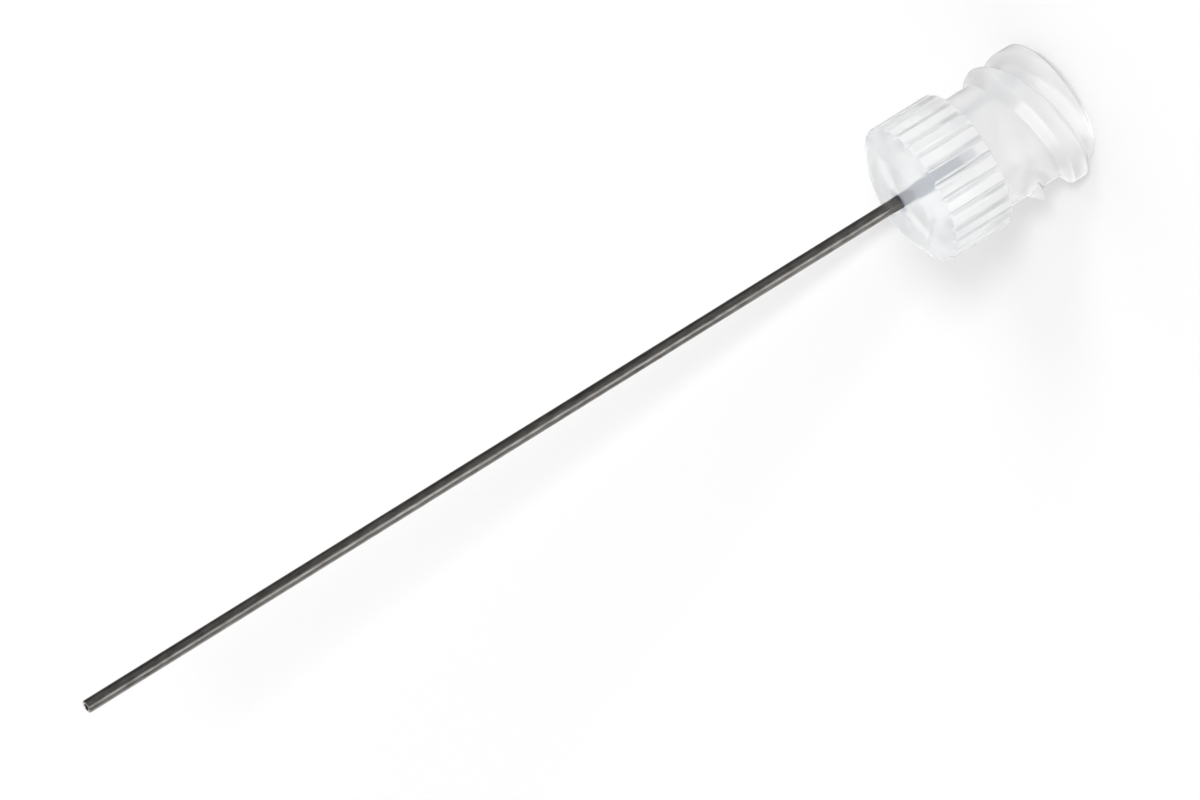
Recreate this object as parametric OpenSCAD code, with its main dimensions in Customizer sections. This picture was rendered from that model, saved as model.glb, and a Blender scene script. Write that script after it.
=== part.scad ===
// Blunt dispensing needle tip: a moulded hub with a female luer socket,
// a two-start locking thread and a fluted grip, holding a straight steel tube.
// The hub stands on its mouth. Z runs up through the tube, and the origin is
// the centre of the mouth.

/* [Hub] */
// Height of the hub from its mouth to its front face
hub_h = 10.3; // [9:0.05:14]
// Diameter of the plain neck between the thread and the grip
neck_d = 6.5; // [6.1:0.05:7]
// Rounding of the neck's corners at the mouth and under the grip
neck_round = 0.1; // [0.05:0.01:0.2]

/* [Grip] */
// Outside diameter of the fluted grip
grip_d = 7.95; // [7.5:0.05:9]
// Height of the grip, up to the front face
grip_h = 4.35; // [3:0.05:5]
// Diameter of the flat front face
face_d = 5.2; // [3:0.1:6.5]
// Height of the shallow cone between the flat face and the flutes
cone_h = 0.78; // [0.2:0.02:1.2]
// Rounding of the grip's front and rear edges
grip_round = 0.15; // [0.05:0.01:0.2]
// Number of flutes around the grip
flute_n = 27; // [18:1:32]
// Width of a flute at the grip's surface
flute_w = 0.42; // [0.2:0.01:0.5]
// Width of a flute's floor
flute_floor_w = 0.1; // [0.05:0.01:0.15]
// Depth of a flute
flute_depth = 0.2; // [0.1:0.01:0.3]
// Bearing of the first flute
flute_bearing = 12.2; // [0:0.1:20]

/* [Locking thread] */
// Diameter over the thread's crests
thread_d = 7.8; // [7.3:0.05:8]
// Rise of one thread in a full turn
thread_lead = 5; // [4:0.1:6]
// Number of threads, spaced evenly around the neck
thread_starts = 2; // [1:1:2]
// Width of a thread's crest along the hub
crest_w = 0.94; // [0.4:0.02:1.1]
// Width of a thread's root along the hub
root_w = 1.76; // [1.4:0.02:1.9]
// Bevel of the crest's two corners
crest_bevel = 0.12; // [0.05:0.01:0.18]
// Height of a thread's middle at its upper end
thread_reach = 4.15; // [2.5:0.05:4.5]
// Angle over which the thread's upper end widens to full width
nose_angle = 85; // [20:1:90]
// Angle over which the thread's upper end rises to full height
rise_angle = 35; // [10:1:60]
// Bearing of the first thread's upper end
nose_bearing = 220; // [0:1:359]
// Height of the plain rim below the threads
rim_h = 0.12; // [0.05:0.01:0.4]
// Height of the slope that trims the threads above the rim
lead_in_h = 0.42; // [0.2:0.02:0.8]
// Height at which the threads run out into the neck
run_out_z = 3.8; // [2.5:0.05:4.5]
// Height of the slope that trims the threads below the run-out
run_out_h = 0.6; // [0.2:0.02:1]

/* [Luer socket] */
// Diameter of the socket at the mouth
luer_d = 4.3; // [4.1:0.01:4.5]
// Loss of diameter for each unit of depth
luer_taper = 0.06; // [0.05:0.005:0.07]
// Depth of the tapered wall
luer_h = 6.3; // [5:0.05:7]
// Height of the shallow cone that ends the socket
funnel_h = 0.4; // [0.2:0.05:0.6]
// Bevel at the socket's mouth
mouth_bevel = 0.1; // [0.05:0.01:0.2]

/* [Cannula] */
// Outside diameter of the tube
tube_od = 0.72; // [0.5:0.01:1.3]
// Bore of the tube
tube_id = 0.41; // [0.2:0.01:0.42]
// Length of tube that stands out of the hub
tube_out = 52; // [10:0.5:80]
// Bevel of the tube's outer edges
tube_bevel = 0.03; // [0.01:0.01:0.05]
// Gap all round between the tube and its hole in the hub
bond_gap = 0.01; // [0.005:0.005:0.03]

/* [Hidden] */
neck_r = neck_d / 2;
grip_r = grip_d / 2;
crest_r = thread_d / 2;
luer_r = luer_d / 2;
tube_r = tube_od / 2;
tube_hole_r = tube_r + bond_gap;
grip_z = hub_h - grip_h;
socket_h = luer_h + funnel_h;
luer_end_r = luer_r - luer_taper * luer_h / 2;
flute_pitch = 360 / flute_n;
// Slope of the front cone, and the height of the arc's centre that blends it into the grip
cone_angle = atan2(cone_h, grip_r - face_d / 2);
front_round_z = hub_h - cone_h - grip_round * (1 - sin(cone_angle)) / cos(cone_angle);
// The thread's inner edge is sunk this far into the neck
thread_sink = 0.2;
crest_rise = crest_r - neck_r;
// Half the thread's width at its inner edge
thread_flank = (root_w - crest_w - crest_bevel) / 2 / (crest_rise - crest_bevel);
thread_foot = root_w / 2 + thread_flank * thread_sink;
// The slopes that trim the threads start this far inside the neck
slope_sink = 0.1;
// Angle between the thread's sections
thread_step = 7.5;
// Smallest share of full size that the thread's section takes, at its very tip
nose_least = 0.03;
// Cutting shapes run this far past what they cut
past = 1;
arc_steps = 6;
$fn = 96;

// Points of an arc about c, from angle a0 to angle a1
function arc(c, r, a0, a1) =
    [for (i = [0:arc_steps]) let (a = a0 + (a1 - a0) * i / arc_steps) [c[0] + r * cos(a), c[1] + r * sin(a)]];

// Half section of the hub's outside, from the axis at the mouth to the axis at the front
function hub_outline() = concat(
    [[0, 0]],
    arc([neck_r - neck_round, neck_round], neck_round, -90, 0),
    arc([neck_r + neck_round, grip_z - neck_round], neck_round, 180, 90),
    arc([grip_r - grip_round, grip_z + grip_round], grip_round, -90, 0),
    arc([grip_r - grip_round, front_round_z], grip_round, 0, 90 - cone_angle),
    [[face_d / 2, hub_h], [0, hub_h]]
);

// Share of its full size that the thread's section has at an angle past its upper end,
// where it swells smoothly over the angle that is given
function swell(a, over) = a < over ? max(nose_least, sin(90 * a / over)) : 1;

// The thread's full section, as rise above the neck and height about the thread's middle.
// Its flanks run on inside the neck in a straight line.
full_section = [
    [-thread_sink, -thread_foot],
    [crest_rise - crest_bevel, -crest_w / 2 - crest_bevel / 2],
    [crest_rise, -crest_w / 2 + crest_bevel],
    [crest_rise, crest_w / 2 - crest_bevel],
    [crest_rise - crest_bevel, crest_w / 2 + crest_bevel / 2],
    [-thread_sink, thread_foot]
];
section_n = len(full_section);

// The section at the given shares of its full width and of its full rise
function thread_section(w, h) = [for (p = full_section) [neck_r + (p[0] > 0 ? p[0] * h : p[0]), p[1] * w]];

// The thread runs down from its nose until its whole section is below the mouth
thread_turn = 360 * (thread_reach + root_w) / thread_lead;
thread_sections = ceil(thread_turn / thread_step);

function thread_points() = [
    for (i = [0:thread_sections])
    let (a = i * thread_step, s = thread_section(swell(a, nose_angle), swell(a, rise_angle)))
    for (p = s) [p[0] * cos(-a), p[0] * sin(-a), thread_reach - thread_lead * a / 360 + p[1]]
];

// Each band between two sections is a ring of triangle pairs
function band_faces(i) = [
    for (j = [0:section_n - 1])
    let (k = (j + 1) % section_n, a = i * section_n, b = a + section_n)
    for (t = [[a + j, b + j, b + k], [a + j, b + k, a + k]]) t
];
function thread_faces() = concat(
    [[for (j = [0:section_n - 1]) j]],
    [for (i = [0:thread_sections - 1]) for (t = band_faces(i)) t],
    [[for (j = [section_n - 1:-1:0]) thread_sections * section_n + j]]
);

// Height, at a rise above the neck, of a slope that leaves the neck at z and climbs by h to the crest
function slope_z(rise, z, h) = z + h * rise / crest_rise;

module locking_thread() {
    intersection() {
        for (i = [0:thread_starts - 1])
            rotate(nose_bearing + 360 * i / thread_starts)
                polyhedron(points = thread_points(), faces = thread_faces());
        rotate_extrude()
            polygon([
                [0, slope_z(-slope_sink, rim_h, lead_in_h)],
                [neck_r - slope_sink, slope_z(-slope_sink, rim_h, lead_in_h)],
                [crest_r + past, slope_z(crest_rise + past, rim_h, lead_in_h)],
                [crest_r + past, slope_z(crest_rise + past, run_out_z, -run_out_h)],
                [neck_r - slope_sink, slope_z(-slope_sink, run_out_z, -run_out_h)],
                [0, slope_z(-slope_sink, run_out_z, -run_out_h)]
            ]);
    }
}

module flute() {
    linear_extrude(height = grip_h + 2 * past)
        polygon([
            [grip_r + flute_depth, -flute_w],
            [grip_r + flute_depth, flute_w],
            [grip_r, flute_w / 2],
            [grip_r - flute_depth, flute_floor_w / 2],
            [grip_r - flute_depth, -flute_floor_w / 2],
            [grip_r, -flute_w / 2]
        ]);
}

module luer_socket() {
    rotate_extrude()
        polygon([
            [0, -past],
            [luer_r + mouth_bevel + past, -past],
            [luer_r + mouth_bevel, 0],
            [luer_r - luer_taper * mouth_bevel / 2, mouth_bevel],
            [luer_end_r, luer_h],
            [tube_hole_r, socket_h],
            [0, socket_h]
        ]);
}

module hub() {
    color([0.9, 0.93, 0.95, 0.6])
        difference() {
            union() {
                rotate_extrude() polygon(hub_outline());
                locking_thread();
            }
            for (i = [0:flute_n - 1])
                rotate(flute_bearing + i * flute_pitch) translate([0, 0, grip_z - past]) flute();
            luer_socket();
            cylinder(r = tube_hole_r, h = hub_h + past);
        }
}

module cannula() {
    color([0.42, 0.41, 0.4])
        translate([0, 0, socket_h])
            rotate_extrude()
                polygon([
                    [tube_id / 2, 0],
                    [tube_r - tube_bevel, 0],
                    [tube_r, tube_bevel],
                    [tube_r, hub_h - socket_h + tube_out - tube_bevel],
                    [tube_r - tube_bevel, hub_h - socket_h + tube_out],
                    [tube_id / 2, hub_h - socket_h + tube_out]
                ]);
}

hub();
cannula();
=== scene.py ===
"""Looks for the dispensing needle tip: a clear moulded hub and a long dark steel tube.

Sizes are in millimetres and angles in degrees, in the frame's own axes: the hub stands on its
mouth and the tube points up. lathe() makes each piece and turns its millimetres into metres.
"""

import math

import bpy
from mathutils import Matrix, Vector


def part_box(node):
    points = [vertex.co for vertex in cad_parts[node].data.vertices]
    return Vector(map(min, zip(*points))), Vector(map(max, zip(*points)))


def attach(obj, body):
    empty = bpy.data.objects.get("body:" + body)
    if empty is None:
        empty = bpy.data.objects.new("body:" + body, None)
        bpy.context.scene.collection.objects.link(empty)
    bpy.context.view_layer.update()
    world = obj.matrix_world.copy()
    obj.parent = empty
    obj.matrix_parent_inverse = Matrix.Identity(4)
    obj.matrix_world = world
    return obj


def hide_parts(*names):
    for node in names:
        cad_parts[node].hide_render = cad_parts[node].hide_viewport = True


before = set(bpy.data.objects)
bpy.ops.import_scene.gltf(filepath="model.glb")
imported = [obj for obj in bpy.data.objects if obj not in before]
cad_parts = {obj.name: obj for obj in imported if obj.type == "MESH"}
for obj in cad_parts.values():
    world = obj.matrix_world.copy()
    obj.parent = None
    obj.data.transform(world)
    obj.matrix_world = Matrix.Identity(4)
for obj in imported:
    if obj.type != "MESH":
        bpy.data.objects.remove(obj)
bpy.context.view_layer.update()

MM = 0.001

# ---------------------------------------------------------------- sizes

hub_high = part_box("hub")[1]
tube_low, tube_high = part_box("cannula")
HUB_H = hub_high.z / MM
TUBE_START = tube_low.z / MM
TUBE_END = tube_high.z / MM
TUBE_R = tube_high.x / MM

# Grip: the cone joins the flat front face on a soft round, and the grip on a tight one
GRIP_R = 7.95 / 2
GRIP_Z = HUB_H - 4.35
FACE_R = 5.2 / 2
CONE_H = 0.78
FACE_ROUND = 1.2
GRIP_ROUND = 0.15
FLUTES = 27
FLUTE_W = 0.42
FLUTE_FLOOR_W = 0.1
FLUTE_DEPTH = 0.2
FLUTE_BEARING = 12.2
# Width over which a flute blends into the grip's own outline
FLUTE_SOFT = 0.05

# Neck and locking thread: the thread's upper end is its nose, where it swells to full size
NECK_R = 6.5 / 2
NECK_ROUND = 0.1
CREST_RISE = 7.8 / 2 - NECK_R
THREAD_LEAD = 5
THREAD_STARTS = 2
CREST_W = 0.94
ROOT_W = 1.76
THREAD_REACH = 4.15
NOSE_ANGLE = 85
RISE_ANGLE = 35
NOSE_BEARING = 220
RIM_H = 0.12
LEAD_IN_H = 0.42
RUN_OUT_Z = 3.8
RUN_OUT_H = 0.6
# Share of the rise over which the edges of threads and flutes are blended
EDGE_SOFT = 0.2
# Share of the full width under which the thread's nose is left out
NOSE_LEAST = 0.01

# Luer socket
LUER_R = 4.3 / 2
LUER_TAPER = 0.06
LUER_H = 6.3
MOUTH_BEVEL = 0.1
# The hub's hole is a hair tighter than the tube, so that no air shows between them
HOLE_R = TUBE_R - 0.005
HOLE_EDGE = 0.06

# Tube
BORE_R = 0.41 / 2
TUBE_EDGE = 0.08
BORE_EDGE = 0.03

# ---------------------------------------------------------------- mesh fineness

COLUMNS_PER_FLUTE = 20
TUBE_COLUMNS = 96
# Height of a row of faces over the threads, and rows of faces on the other stretches
THREAD_STEP = 0.05
FACE_ROWS = 4
CONE_ROWS = 12
GRIP_ROWS = 8
SHOULDER_ROWS = 3
NECK_ROWS = 4
MOUTH_ROWS = 3
SOCKET_ROWS = 6
HOLE_ROWS = 3
TUBE_ROWS = 60
ROUND_STEPS = 6
TUBE_ROUND_STEPS = 4
# Faces that meet at more than this are shaded with an edge between them
SHARP_ANGLE = 28
# Two lengths closer than this are the same
SAME = 1e-6

# ---------------------------------------------------------------- looks of the pieces

WHITE = (1, 1, 1, 1)
# The part of a noise's range that is spread over the whole range of what it drives
NOISE_RANGE = (0.3, 0.7)

# Plastic: milkier at the mouth, and clearer from the first height to the second
PLASTIC_IOR = 1.42
PLASTIC_ROUGHNESS = (0.14, 0.2)
MOUTH_CLARITY = 0.4
CLARITY = 0.57
CLARITY_Z = (0.3, 2.6)
GRAIN_SCALE = 900
RIPPLE_SCALE = 3000
RIPPLE_H = 0.01
RIPPLE_STRENGTH = 0.4
PLASTIC_DETAIL = 3
# A faint painted bluish shade at the front, and the depths below the face where it starts and is full
FRONT_SHADE_TINT = (0.975, 0.99, 1, 1)
FRONT_SHADE_DEPTH = (1.6, 0.4)
# Painted shade: the tint below greys the flutes' floors where shade falls in the grooves
# A tint under the flutes' floors: depths below the grip's surface where it starts and is full, then
# where it is full and ends, and the heights over which it fades at the rear and the front
FLUTE_SHADE_TINT = (0.91, 0.92, 0.93, 1)
FLUTE_SHADE_INNER = (0.6, 0.5)
FLUTE_SHADE_OUTER = (0.14, 0.04)
FLUTE_SHADE_REAR = 0.1
FLUTE_SHADE_FRONT = 0.3
# A painted bluish-grey shade round the tube: the radius where it starts, and the clearance of the tube
# where it is full
HOLE_SHADE_TINT = (0.52, 0.58, 0.65, 1)
HOLE_SHADE_R = 0.85
HOLE_SHADE_CLEARANCE = 0.03

# Steel: fine lines along the tube and longish spots, between a dark and a pale tone
STEEL_DARK = (0.09, 0.084, 0.078, 1)
STEEL_PALE = (0.32, 0.306, 0.292, 1)
STEEL_ROUGHNESS = (0.22, 0.32)
LINES_SCALE = 4000
LINES_DETAIL = 4
LINES_STRETCH = (1, 1, 0.012)
LINES_H = 0.004
LINES_STRENGTH = 0.3
SPOTS_SCALE = 5000
SPOTS_DETAIL = 3
SPOTS_STRETCH = (1, 1, 0.3)
SPOTS_SHARE = 0.5
# Inside the hub the tube is painted bluish: depths below the face where each painted colour starts and is
# full
# A dark painted shade where the tube enters the face
ROOT_SHADE_COLOUR = (0, 0.04, 0.18, 1)
ROOT_SHADE_DEPTH = (0.1, 0.4)
# A paler painted veil of the light that the milky plastic scatters over the tube
VEIL_COLOUR = (0.08, 0.15, 0.27, 1)
VEIL_DEPTH = (1.3, 2.1)
# Bare metal at the cut and in the bore: depths below the tube's surface
STEEL_BARE = (0.62, 0.6, 0.58, 1)
BARE_DEPTH = (0.08, 0.12)
# The tube is dull at the hub: heights above the face
DULL_ROUGHNESS = 0.6
DULL_H = (0.75, 0.45)

# ---------------------------------------------------------------- stage, lights and camera

# The floor's size is in metres. Its shade and glow and the ambient light go with the lamps below,
# so that it renders just white where no shadow falls
FLOOR_SIZE = 6
FLOOR_SHADE = 0.44
FLOOR_GLOW = 0.013
AMBIENT = 1.06
# A dark blue card at +X, which the plastic bends into sight: its bearing from the camera's side
# towards -X, its half width where it starts and is full, and its distance from the axis likewise
CARD_TURN = -100
CARD_HALF = (36, 20)
CARD_START = (4, 6)
CARD_COLOUR = (0, 0.11, 0.32, 1)
# What reflections see at angles from the camera's side towards -X, in shares of the studio's level
STUDIO = (
    (-180, 0.5),
    (-130, 0.12),
    (-90, 0.07),
    (-50, 0.15),
    (8, 0.16),
    (32, 0.9),
    (42, 1),
    (63, 0.24),
    (92, 0.34),
    (120, 0.5),
    (180, 0.5),
)
STUDIO_LEVEL = 2.3

# Bearing, elevation, power, softness, and whether it lights the object too
SUNS = {
    "key": (280, 20, 0.6, 7, True),
    "hub_shade": (275.5, 20, 3.64, 6, False),
    "neck_shade": (296, 22, 1.36, 14, False),
    "tube_shade": (271, 20, 5.22, 1.8, False),
}

# Distances are in metres, and the aim's height is a share of the object's height
CAMERA_DISTANCE = 1.0
CAMERA_LENS = 584
CAMERA_CLIP_RATIO = 100
CAMERA_ELEVATION = 19.7
CAMERA_ROLL = -121.87
AIM_SHARE = 0.4815
AIM_ASIDE = -0.00053


# ---------------------------------------------------------------- mesh helpers


def arc(centre, radius, start, end, steps=ROUND_STEPS):
    """Points (r, z) of an arc, from angle start to angle end in degrees."""
    angles = [math.radians(start + (end - start) * i / steps) for i in range(steps + 1)]
    return [(centre[0] + radius * math.cos(a), centre[1] + radius * math.sin(a)) for a in angles]


def line(start, end, rows):
    """Points (r, z) inside a straight stretch that is cut into rows, both ends left out."""
    return [
        (start[0] + (end[0] - start[0]) * i / rows, start[1] + (end[1] - start[1]) * i / rows)
        for i in range(1, rows)
    ]


def soft_min(a, b, k):
    """The smaller of two numbers, blended over a width k where they are close."""
    h = max(k - abs(a - b), 0) / k
    return min(a, b) - h * h * k / 4


def soft_max(a, b, k):
    """The larger of two numbers, blended over a width k where they are close."""
    return -soft_min(-a, -b, k)


def lathe(name, outline, columns, first_bearing, shape=None):
    """Turns a closed outline of (r, z) points round the axis. shape moves each point at each bearing."""
    verts, faces = [], []
    rows = len(outline)
    for c in range(columns):
        bearing = first_bearing + 360 * c / columns
        a = math.radians(bearing)
        for r, z in outline:
            if shape:
                r, z = shape(r, z, bearing)
            verts.append((r * math.cos(a) * MM, r * math.sin(a) * MM, z * MM))
    for c in range(columns):
        near, far = c * rows, (c + 1) % columns * rows
        for i in range(rows):
            j = (i + 1) % rows
            faces.append((near + i, near + j, far + j, far + i))
    mesh = bpy.data.meshes.new(name)
    mesh.from_pydata(verts, [], faces)
    mesh.validate()
    mesh.shade_smooth()
    mesh.set_sharp_from_angle(angle=math.radians(SHARP_ANGLE))
    mesh.update()
    piece = bpy.data.objects.new(name, mesh)
    bpy.context.scene.collection.objects.link(piece)
    return piece


# ---------------------------------------------------------------- hub


def swell(a, over):
    """Share of full size that the thread has at an angle a past the tip of its nose."""
    return math.sin(math.pi / 2 * a / over) if a < over else 1


def thread_rise(z, bearing):
    """How far the locking thread stands above the neck at a height and bearing."""
    rise = 0
    slope = (ROOT_W - CREST_W) / 2
    for i in range(THREAD_STARTS):
        a = (NOSE_BEARING + 360 * i / THREAD_STARTS - bearing) % 360
        width = swell(a, NOSE_ANGLE)
        if width < NOSE_LEAST:
            continue
        off = abs(z - (THREAD_REACH - THREAD_LEAD * a / 360)) / width
        share = soft_min((ROOT_W / 2 - off) / slope, 1, EDGE_SOFT)
        share = soft_max(share, 0, EDGE_SOFT)
        rise = max(rise, share * CREST_RISE * swell(a, RISE_ANGLE))
    lead_in = (z - RIM_H) / LEAD_IN_H * CREST_RISE
    run_out = (RUN_OUT_Z - z) / RUN_OUT_H * CREST_RISE
    return max(0, soft_min(rise, min(lead_in, run_out), EDGE_SOFT * CREST_RISE))


def flute_r(bearing):
    """Radius that the flutes leave of the grip at a bearing."""
    pitch = 360 / FLUTES
    off = (bearing - FLUTE_BEARING + pitch / 2) % pitch - pitch / 2
    along = abs(math.radians(off)) * GRIP_R
    share = (FLUTE_W / 2 - along) / ((FLUTE_W - FLUTE_FLOOR_W) / 2)
    share = soft_max(soft_min(share, 1, EDGE_SOFT), 0, EDGE_SOFT)
    return GRIP_R - FLUTE_DEPTH * share


def shape_hub(r, z, bearing):
    """Raises the threads on the neck and sinks the flutes into the grip."""
    if z >= GRIP_Z - SAME and r > GRIP_R - 2 * FLUTE_DEPTH:
        return soft_min(r, flute_r(bearing) + FLUTE_SOFT * FLUTE_DEPTH, FLUTE_SOFT), z
    if abs(r - NECK_R) < SAME and z < GRIP_Z:
        return r + thread_rise(z, bearing), z
    return r, z


def hub_outline():
    """Points (r, z) round the hub's wall: out over the face, down the outside and up the socket."""
    cone_angle = math.degrees(math.atan2(CONE_H, GRIP_R - FACE_R))
    slant = math.radians(cone_angle)
    face_flat_r = FACE_R - FACE_ROUND * math.tan(slant / 2)
    front_z = HUB_H - CONE_H - GRIP_ROUND * (1 - math.sin(slant)) / math.cos(slant)
    face = arc((face_flat_r, HUB_H - FACE_ROUND), FACE_ROUND, 90, 90 - cone_angle)
    front = arc((GRIP_R - GRIP_ROUND, front_z), GRIP_ROUND, 90 - cone_angle, 0)
    rear = arc((GRIP_R - GRIP_ROUND, GRIP_Z + GRIP_ROUND), GRIP_ROUND, 0, -90)
    fillet = arc((NECK_R + NECK_ROUND, GRIP_Z - NECK_ROUND), NECK_ROUND, 90, 180)
    thread_top = (NECK_R, THREAD_REACH)
    thread_rows = round((THREAD_REACH - NECK_ROUND) / THREAD_STEP)
    corner = arc((NECK_R - NECK_ROUND, NECK_ROUND), NECK_ROUND, 0, -90)
    mouth = (LUER_R + MOUTH_BEVEL, 0)
    socket = (LUER_R - LUER_TAPER * MOUTH_BEVEL / 2, MOUTH_BEVEL)
    socket_end = (LUER_R - LUER_TAPER * LUER_H / 2, LUER_H)
    hole = (HOLE_R, TUBE_START)
    hole_end = (HOLE_R, HUB_H - HOLE_EDGE)
    rim = (HOLE_R + HOLE_EDGE, HUB_H)
    points = [hole_end, rim]
    points += line(rim, face[0], FACE_ROWS) + face
    points += line(face[-1], front[0], CONE_ROWS) + front
    points += line(front[-1], rear[0], GRIP_ROWS) + rear
    points += line(rear[-1], fillet[0], SHOULDER_ROWS) + fillet
    points += line(fillet[-1], thread_top, NECK_ROWS) + [thread_top]
    points += line(thread_top, corner[0], thread_rows) + corner
    points += line(corner[-1], mouth, MOUTH_ROWS) + [mouth, socket]
    points += line(socket, socket_end, SOCKET_ROWS) + [socket_end, hole]
    points += line(hole, hole_end, HOLE_ROWS)
    return points


# ---------------------------------------------------------------- tube


def tube_outline():
    """Points (r, z) round the tube's wall, up the outside and down the bore."""
    edge_r = TUBE_R - TUBE_EDGE
    low = arc((edge_r, TUBE_START + TUBE_EDGE), TUBE_EDGE, -90, 0, TUBE_ROUND_STEPS)
    high = arc((edge_r, TUBE_END - TUBE_EDGE), TUBE_EDGE, 0, 90, TUBE_ROUND_STEPS)
    bore = (BORE_R, TUBE_START)
    bore_end = (BORE_R, TUBE_END - BORE_EDGE)
    points = [bore] + low
    points += line((TUBE_R, TUBE_START + TUBE_EDGE), (TUBE_R, TUBE_END - TUBE_EDGE), TUBE_ROWS)
    points += high + [(BORE_R + BORE_EDGE, TUBE_END), bore_end]
    points += line(bore_end, bore, TUBE_ROWS)
    return points


# ---------------------------------------------------------------- node helpers


def feed(tree, value, socket):
    """Gives an input a fixed value, or links it to another node's output."""
    if isinstance(value, bpy.types.NodeSocket):
        tree.links.new(value, socket)
    else:
        socket.default_value = value


def calculate(tree, operation, *values, clamp=False):
    """Result of an operation on numbers, each a fixed value or a socket."""
    node = tree.nodes.new("ShaderNodeMath")
    node.operation = operation
    node.use_clamp = clamp
    for value, socket in zip(values, node.inputs):
        feed(tree, value, socket)
    return node.outputs["Value"]


def calculate_vector(tree, operation, *values):
    """Result of an operation on vectors, each a fixed value or a socket."""
    node = tree.nodes.new("ShaderNodeVectorMath")
    node.operation = operation
    for value, socket in zip(values, node.inputs):
        feed(tree, value, socket)
    return node.outputs["Value" if operation == "LENGTH" else "Vector"]


def product(tree, *shares):
    """Several shares multiplied together."""
    result = shares[0]
    for share in shares[1:]:
        result = calculate(tree, "MULTIPLY", result, share)
    return result


def mix(tree, kind, share, a, b):
    """Goes from a to b, numbers or colours, as share goes from 0 to 1."""
    node = tree.nodes.new("ShaderNodeMix")
    node.data_type = kind
    for name, value in (("Factor", share), ("A", a), ("B", b)):
        feed(tree, value, node.inputs[name])
    return node.outputs["Result"]


def map_range(tree, source, start, end, low=0, high=1, way="LINEAR"):
    """Goes from low to high as source goes from start to end."""
    node = tree.nodes.new("ShaderNodeMapRange")
    node.interpolation_type = way
    sockets = ("Value", "From Min", "From Max", "To Min", "To Max")
    for name, value in zip(sockets, (source, start, end, low, high)):
        feed(tree, value, node.inputs[name])
    return node.outputs["Result"]


def step(tree, length, start, end, low=0, high=1):
    """Goes smoothly from low to high as a length goes from start to end, in millimetres."""
    return map_range(tree, length, start * MM, end * MM, low, high, "SMOOTHSTEP")


def object_noise(tree, scale, detail, stretch=(1, 1, 1)):
    """Noise in the object's own coordinates, scaled per axis."""
    where = tree.nodes.new("ShaderNodeTexCoord")
    mapping = tree.nodes.new("ShaderNodeMapping")
    mapping.inputs["Scale"].default_value = stretch
    noise = tree.nodes.new("ShaderNodeTexNoise")
    noise.inputs["Scale"].default_value = scale
    noise.inputs["Detail"].default_value = detail
    tree.links.new(where.outputs["Object"], mapping.inputs["Vector"])
    tree.links.new(mapping.outputs["Vector"], noise.inputs["Vector"])
    return noise.outputs["Fac"]


def add_bump(tree, shader, source, height, strength):
    """Lets a noise raise the surface by up to a height in millimetres."""
    bump = tree.nodes.new("ShaderNodeBump")
    bump.inputs["Distance"].default_value = height * MM
    bump.inputs["Strength"].default_value = strength
    tree.links.new(source, bump.inputs["Height"])
    tree.links.new(bump.outputs["Normal"], shader.inputs["Normal"])


def axis_distance(tree):
    """Distance from the tube's axis and height, in metres."""
    where = tree.nodes.new("ShaderNodeTexCoord").outputs["Object"]
    split = tree.nodes.new("ShaderNodeSeparateXYZ")
    tree.links.new(where, split.inputs["Vector"])
    flat = calculate_vector(tree, "MULTIPLY", where, (1, 1, 0))
    return calculate_vector(tree, "LENGTH", flat), split.outputs["Z"]


# ---------------------------------------------------------------- materials of the pieces


def new_material(name):
    """A new material, its node tree and its main shader."""
    material = bpy.data.materials.new(name)
    material.use_nodes = True
    tree = material.node_tree
    return material, tree, tree.nodes["Principled BSDF"]


def flute_shade_share(tree, radius, height):
    """Share of the painted shade: full under the flutes' floors and none elsewhere."""
    inner, inner_full = FLUTE_SHADE_INNER
    outer_full, outer = FLUTE_SHADE_OUTER
    front_z = HUB_H - CONE_H
    return product(
        tree,
        step(tree, radius, GRIP_R - inner, GRIP_R - inner_full),
        step(tree, radius, GRIP_R - outer, GRIP_R - outer_full),
        step(tree, height, GRIP_Z, GRIP_Z + FLUTE_SHADE_REAR),
        step(tree, height, front_z, front_z - FLUTE_SHADE_FRONT),
    )


def clear_plastic():
    """Natural polypropylene, see-through but milky, with painted shade in the flutes, at the front and
    round the tube.
    """
    material, tree, shader = new_material("clear_plastic")
    shader.inputs["IOR"].default_value = PLASTIC_IOR
    radius, height = axis_distance(tree)
    # A faint painted bluish shade at the front
    front = step(tree, height, *[HUB_H - depth for depth in FRONT_SHADE_DEPTH])
    tint = mix(tree, "RGBA", front, WHITE, FRONT_SHADE_TINT)
    # Painted shade in the flutes
    tint = mix(tree, "RGBA", flute_shade_share(tree, radius, height), tint, FLUTE_SHADE_TINT)
    # Painted bluish-grey shade round the tube
    hole_shade = step(tree, radius, HOLE_SHADE_R, TUBE_R + HOLE_SHADE_CLEARANCE)
    tint = mix(tree, "RGBA", hole_shade, tint, HOLE_SHADE_TINT)
    tree.links.new(tint, shader.inputs["Base Color"])
    see_through = step(tree, height, *CLARITY_Z, MOUTH_CLARITY, CLARITY)
    tree.links.new(see_through, shader.inputs["Transmission Weight"])
    grain = object_noise(tree, GRAIN_SCALE, PLASTIC_DETAIL)
    roughness = map_range(tree, grain, *NOISE_RANGE, *PLASTIC_ROUGHNESS)
    tree.links.new(roughness, shader.inputs["Roughness"])
    ripple = object_noise(tree, RIPPLE_SCALE, PLASTIC_DETAIL)
    add_bump(tree, shader, ripple, RIPPLE_H, RIPPLE_STRENGTH)
    return material


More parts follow.
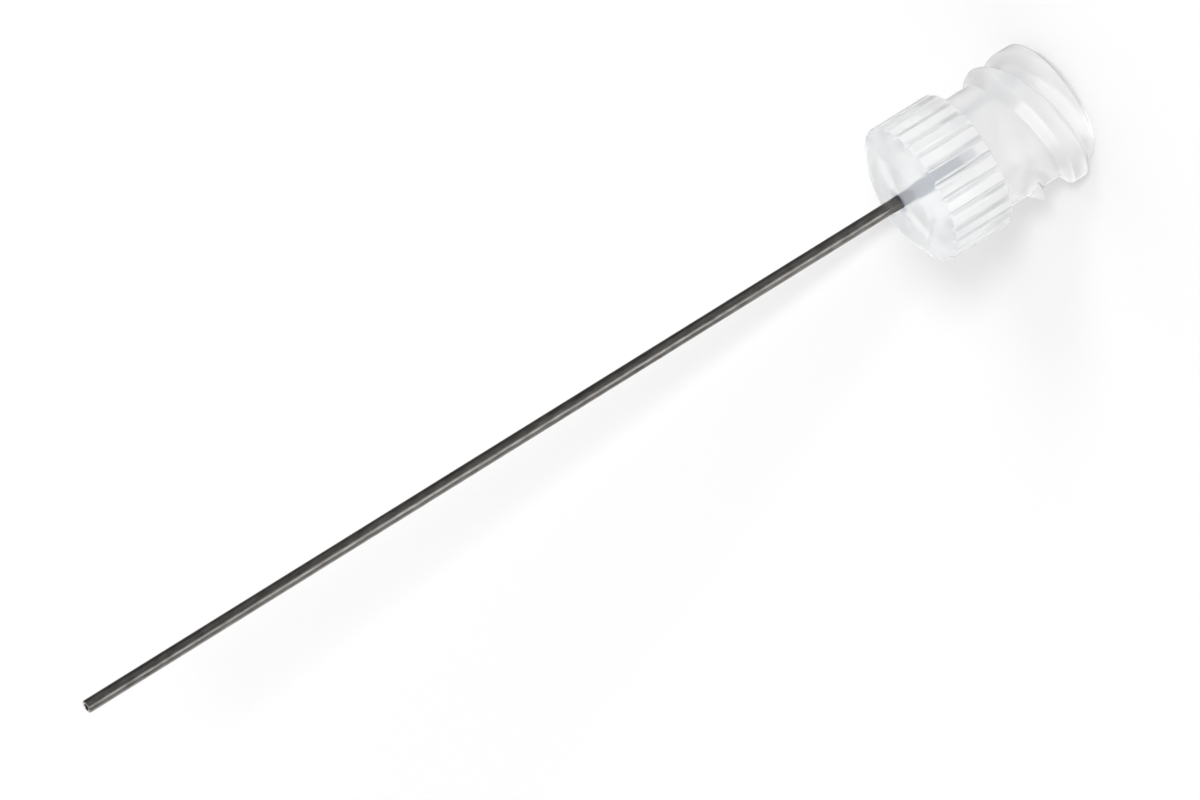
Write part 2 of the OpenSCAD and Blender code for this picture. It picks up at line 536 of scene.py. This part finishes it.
def dark_steel():
    """Ground stainless tube: dark satin, dull at the hub, bright where it is cut and in the bore, and
    painted bluish inside the hub.
    """
    material, tree, shader = new_material("stainless_steel")
    shader.inputs["Metallic"].default_value = 1
    radius, height = axis_distance(tree)
    lines = object_noise(tree, LINES_SCALE, LINES_DETAIL, LINES_STRETCH)
    spots = object_noise(tree, SPOTS_SCALE, SPOTS_DETAIL, SPOTS_STRETCH)
    mottle = map_range(tree, mix(tree, "FLOAT", SPOTS_SHARE, lines, spots), *NOISE_RANGE)
    tint = mix(tree, "RGBA", mottle, STEEL_DARK, STEEL_PALE)
    # Painted bluish shade and veil of scattered light on the tube inside the hub
    for depths, colour in ((ROOT_SHADE_DEPTH, ROOT_SHADE_COLOUR), (VEIL_DEPTH, VEIL_COLOUR)):
        inside = step(tree, height, *[HUB_H - depth for depth in depths])
        tint = mix(tree, "RGBA", inside, tint, colour)
    bare = step(tree, radius, *[TUBE_R - depth for depth in BARE_DEPTH])
    tint = mix(tree, "RGBA", bare, tint, STEEL_BARE)
    tree.links.new(tint, shader.inputs["Base Color"])
    satin = map_range(tree, lines, *NOISE_RANGE, *STEEL_ROUGHNESS)
    dull = step(tree, height, *[HUB_H + rise for rise in DULL_H], 0, DULL_ROUGHNESS)
    tree.links.new(calculate(tree, "MAXIMUM", satin, dull), shader.inputs["Roughness"])
    add_bump(tree, shader, lines, LINES_H, LINES_STRENGTH)
    return material


# ---------------------------------------------------------------- background


def turn_and_distance(tree, where):
    """Angle of a place or direction, from the camera's side towards -X, and its distance from the axis."""
    flat = calculate_vector(tree, "MULTIPLY", where, (-1, -1, 0))
    split = tree.nodes.new("ShaderNodeSeparateXYZ")
    tree.links.new(calculate_vector(tree, "NORMALIZE", flat), split.inputs["Vector"])
    turn = calculate(tree, "ARCTAN2", split.outputs["X"], split.outputs["Y"])
    return turn, calculate_vector(tree, "LENGTH", flat)


def card_on_white(tree, turn, distance):
    """White, but for the dark blue card."""
    off = calculate(tree, "ABSOLUTE", calculate(tree, "SUBTRACT", turn, math.radians(CARD_TURN)))
    start, full = [math.radians(angle) for angle in CARD_HALF]
    side = map_range(tree, off, start, full, way="SMOOTHSTEP")
    card = product(tree, side, step(tree, distance, *CARD_START))
    return mix(tree, "RGBA", card, WHITE, CARD_COLOUR)


def studio_around(tree, turn):
    """The studio's grey levels at each angle round the object."""
    ramp = tree.nodes.new("ShaderNodeValToRGB")
    ramp.color_ramp.interpolation = "EASE"
    stops = ramp.color_ramp.elements
    # New stops start in the middle, and the next loop puts every stop in its place
    while len(stops) < len(STUDIO):
        stops.new(0.5)
    for stop, (angle, level) in zip(stops, STUDIO):
        stop.position = (angle + 180) / 360
        stop.color = (level, level, level, 1)
    tree.links.new(map_range(tree, turn, -math.pi, math.pi), ramp.inputs["Fac"])
    return calculate_vector(tree, "MULTIPLY", ramp.outputs["Color"], (STUDIO_LEVEL,) * 3)


def looked_at(tree, where, otherwise):
    """Colour of the background at a place or direction, and the share of rays that look at it.

    The camera sees plain white. The plastic sees white with a dark blue card at +X. Reflections
    see a studio round the object, the same all the way up. Any other ray, and every ray of light
    that a surface has scattered, meets otherwise.
    """
    path = tree.nodes.new("ShaderNodeLightPath").outputs
    turn, distance = turn_and_distance(tree, where)
    through = card_on_white(tree, turn, distance)
    reflected = studio_around(tree, turn)
    # The depth counts whole bounces, so 0.5 stands between none and one
    scattered = calculate(tree, "GREATER_THAN", path["Diffuse Depth"], 0.5)
    bent = calculate(tree, "MAXIMUM", path["Is Glossy Ray"], path["Is Transmission Ray"], clamp=True)
    looking = calculate(tree, "SUBTRACT", bent, scattered, clamp=True)
    seen = mix(tree, "RGBA", path["Is Transmission Ray"], reflected, through)
    seen = mix(tree, "RGBA", looking, otherwise, seen)
    return mix(tree, "RGBA", path["Is Camera Ray"], seen, WHITE), looking


def white_floor():
    """White to whatever looks at it, with the shadows kept as part of its light."""
    material = bpy.data.materials.new("white_floor")
    material.use_nodes = True
    tree = material.node_tree
    tree.nodes.clear()
    place = tree.nodes.new("ShaderNodeTexCoord").outputs["Object"]
    seen, looking = looked_at(tree, place, WHITE)
    paper = tree.nodes.new("ShaderNodeBsdfDiffuse")
    paper.inputs["Color"].default_value = (FLOOR_SHADE, FLOOR_SHADE, FLOOR_SHADE, 1)
    glow = tree.nodes.new("ShaderNodeEmission")
    glow.inputs["Strength"].default_value = FLOOR_GLOW
    tree.links.new(seen, glow.inputs["Color"])
    lit = tree.nodes.new("ShaderNodeAddShader")
    tree.links.new(paper.outputs["BSDF"], lit.inputs[0])
    tree.links.new(glow.outputs["Emission"], lit.inputs[1])
    plain = tree.nodes.new("ShaderNodeEmission")
    tree.links.new(seen, plain.inputs["Color"])
    pick = tree.nodes.new("ShaderNodeMixShader")
    tree.links.new(looking, pick.inputs["Fac"])
    tree.links.new(lit.outputs["Shader"], pick.inputs[1])
    tree.links.new(plain.outputs["Emission"], pick.inputs[2])
    out = tree.nodes.new("ShaderNodeOutputMaterial")
    tree.links.new(pick.outputs["Shader"], out.inputs["Surface"])
    return material


def make_floor():
    """A flat white square under the object."""
    half = FLOOR_SIZE / 2
    corners = [(-half, -half, 0), (half, -half, 0), (half, half, 0), (-half, half, 0)]
    mesh = bpy.data.meshes.new("floor")
    mesh.from_pydata(corners, [], [(0, 1, 2, 3)])
    floor = bpy.data.objects.new("floor", mesh)
    bpy.context.scene.collection.objects.link(floor)
    floor.data.materials.append(white_floor())
    return floor


def make_world():
    """The light from all round the object, and what is seen past the floor."""
    world = bpy.data.worlds.new("studio")
    bpy.context.scene.world = world
    world.use_nodes = True
    tree = world.node_tree
    way = tree.nodes.new("ShaderNodeTexCoord").outputs["Generated"]
    seen, _ = looked_at(tree, way, (AMBIENT, AMBIENT, AMBIENT, 1))
    tree.links.new(seen, tree.nodes["Background"].inputs["Color"])


# ---------------------------------------------------------------- lights and camera


def towards(bearing, elevation):
    """Unit vector from the object towards a bearing and elevation."""
    b, e = math.radians(bearing), math.radians(elevation)
    return Vector((math.cos(b) * math.cos(e), math.sin(b) * math.cos(e), math.sin(e)))


def collection_of(name, item):
    """A collection for light linking that holds one object."""
    group = bpy.data.collections.new(name)
    group.objects.link(item)
    return group


def add_suns(floor, tube):
    """A soft key beside the camera, and three more lamps that only deepen the shadows on the floor.

    The hub casts no shadow from the lamp that deepens the tube's.
    """
    floor_only = collection_of("floor_only", floor)
    tube_only = collection_of("tube_only", tube)
    for name, (bearing, elevation, power, softness, everywhere) in SUNS.items():
        data = bpy.data.lights.new(name, "SUN")
        data.energy = power
        data.angle = math.radians(softness)
        lamp = bpy.data.objects.new(name, data)
        bpy.context.scene.collection.objects.link(lamp)
        lamp.rotation_mode = "QUATERNION"
        lamp.rotation_quaternion = towards(bearing, elevation).to_track_quat("Z", "Y")
        lamp.visible_glossy = False
        if not everywhere:
            lamp.light_linking.receiver_collection = floor_only
        if name == "tube_shade":
            lamp.light_linking.blocker_collection = tube_only


def make_camera(height):
    """Looks along +Y and down, rolled so that the tube runs to the lower left of the picture.

    height is the object's, in metres.
    """
    data = bpy.data.cameras.new("camera")
    data.lens = CAMERA_LENS
    data.clip_start = CAMERA_DISTANCE / CAMERA_CLIP_RATIO
    data.clip_end = CAMERA_DISTANCE * CAMERA_CLIP_RATIO
    camera = bpy.data.objects.new("camera", data)
    bpy.context.scene.collection.objects.link(camera)
    e = math.radians(CAMERA_ELEVATION)
    back = Vector((0, -math.cos(e), math.sin(e)))
    aim = Vector((AIM_ASIDE, 0, height * AIM_SHARE))
    upright = back.to_track_quat("Z", "Y").to_matrix().to_4x4()
    roll = Matrix.Rotation(math.radians(CAMERA_ROLL), 4, "Z")
    camera.matrix_world = Matrix.Translation(aim + back * CAMERA_DISTANCE) @ upright @ roll
    bpy.context.scene.camera = camera


# ---------------------------------------------------------------- build

hub = lathe("clear_hub", hub_outline(), FLUTES * COLUMNS_PER_FLUTE, FLUTE_BEARING, shape_hub)
hub.data.materials.append(clear_plastic())
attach(hub, "root")
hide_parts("hub")

tube = lathe("steel_tube", tube_outline(), TUBE_COLUMNS, 0)
tube.data.materials.append(dark_steel())
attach(tube, "root")
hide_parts("cannula")

make_world()
make_camera(TUBE_END * MM)
add_suns(make_floor(), tube)

bpy.context.scene.view_settings.view_transform = "Standard"
